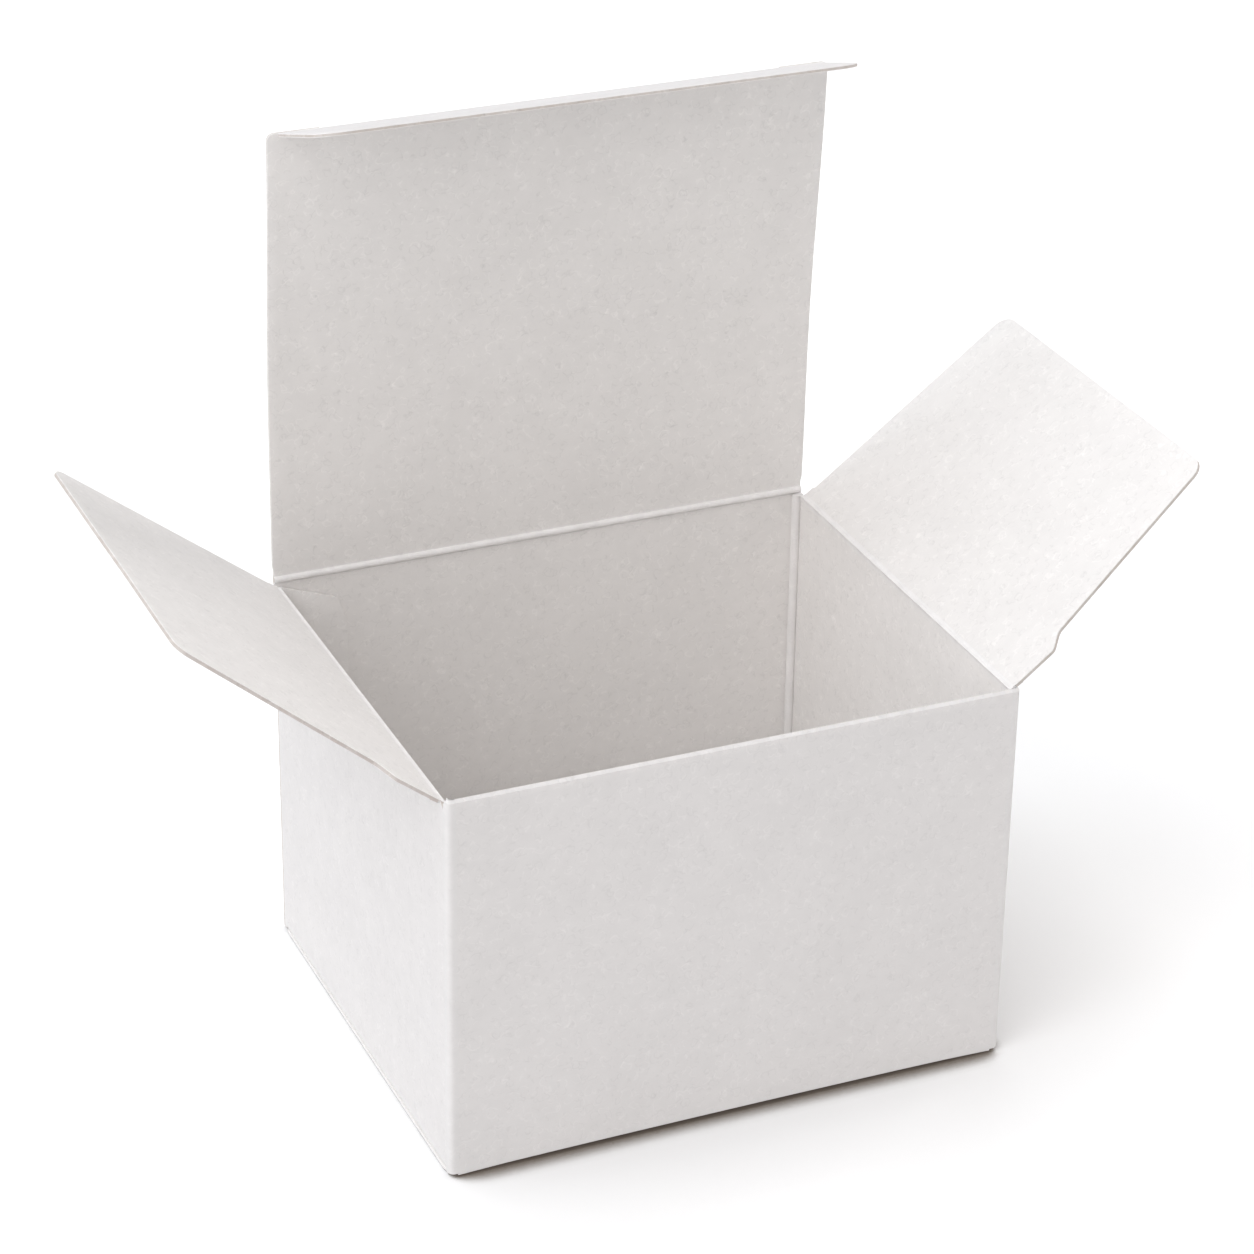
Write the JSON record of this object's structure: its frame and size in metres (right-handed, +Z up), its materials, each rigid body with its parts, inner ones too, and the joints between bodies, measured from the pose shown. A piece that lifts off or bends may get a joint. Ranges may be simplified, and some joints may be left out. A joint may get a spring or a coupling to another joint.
{
  "type": "folding carton",
  "caption": "Small white paperboard folding carton with a tuck-in lid, dust flaps, a glued side seam and a tuck-in bottom, standing open and empty.",
  "frame": {"origin": "middle of the carton's underside, on the surface that it stands on", "axes": "+X across the front to the right, +Y from the front panel to the back panel that the lid hinges on, +Z up"},
  "size_m": [0.177, 0.084, 0.1576],
  "materials": {
    "board": "matt white paperboard with a faint fibre mottle and a grey-brown middle in its cut edges",
    "fold": "scored and folded paperboard, pressed a little smoother than the panels",
    "glue": "thin dried glue between two layers of board"
  },
  "bodies": {
    "walls": {"front_panel": "board", "back_panel": "board", "left_panel": "board", "right_panel": "board", "front_left_fold": "fold", "front_right_fold": "fold", "back_right_fold": "fold", "back_left_fold": "fold", "glue_flap": "board", "glue_layer": "glue", "lid_fold": "fold", "top_left_fold": "fold", "top_right_fold": "fold", "bottom_fold": "fold", "bottom_left_fold": "fold", "bottom_right_fold": "fold"},
    "lid": {"lid_panel": "board", "lid_tuck_fold": "fold"},
    "lid_tuck": {"lid_tuck": "board"},
    "top_left_dust": {"top_left_dust_flap": "board"},
    "top_right_dust": {"top_right_dust_flap": "board"},
    "bottom": {"bottom_panel": "board", "bottom_tuck_fold": "fold"},
    "bottom_tuck": {"bottom_tuck": "board"},
    "bottom_left_dust": {"bottom_left_dust_flap": "board"},
    "bottom_right_dust": {"bottom_right_dust_flap": "board"}
  },
  "joints": [
    {"name": "lid_hinge", "type": "hinge", "parent": "walls", "child": "lid", "pos_m": [0, 0.0414, 0.0694], "axis": [-1, 0, 0], "range_deg": [-87, 93]},
    {"name": "lid_tuck_hinge", "type": "hinge", "parent": "lid", "child": "lid_tuck", "pos_m": [0, 0.03714, 0.15069], "axis": [-1, 0, 0], "range_deg": [-30.5, 32.5]},
    {"name": "top_left_dust_hinge", "type": "hinge", "parent": "walls", "child": "top_left_dust", "pos_m": [-0.0494, 0, 0.0686], "axis": [0, -1, 0], "range_deg": [-142.1, 50]},
    {"name": "top_right_dust_hinge", "type": "hinge", "parent": "walls", "child": "top_right_dust", "pos_m": [0.0494, 0, 0.0686], "axis": [0, 1, 0], "range_deg": [-142.1, 50]},
    {"name": "bottom_hinge", "type": "hinge", "parent": "walls", "child": "bottom", "pos_m": [0, -0.0414, 0.0006], "axis": [-1, 0, 0], "range_deg": [0, 120]},
    {"name": "bottom_tuck_hinge", "type": "hinge", "parent": "bottom", "child": "bottom_tuck", "pos_m": [0, 0.0396, 0.0006], "axis": [-1, 0, 0], "range_deg": [0, 12.5]},
    {"name": "bottom_left_dust_hinge", "type": "hinge", "parent": "walls", "child": "bottom_left_dust", "pos_m": [-0.0494, 0, 0.0014], "axis": [0, -1, 0], "range_deg": [0, 80]},
    {"name": "bottom_right_dust_hinge", "type": "hinge", "parent": "walls", "child": "bottom_right_dust", "pos_m": [0.0494, 0, 0.0014], "axis": [0, 1, 0], "range_deg": [0, 80]}
  ],
  "couplings": [
    {"joint": "lid_tuck_hinge", "follows": "lid_hinge", "ratio": 0.345},
    {"joint": "bottom_tuck_hinge", "follows": "bottom_hinge", "ratio": 0.1}
  ]
}
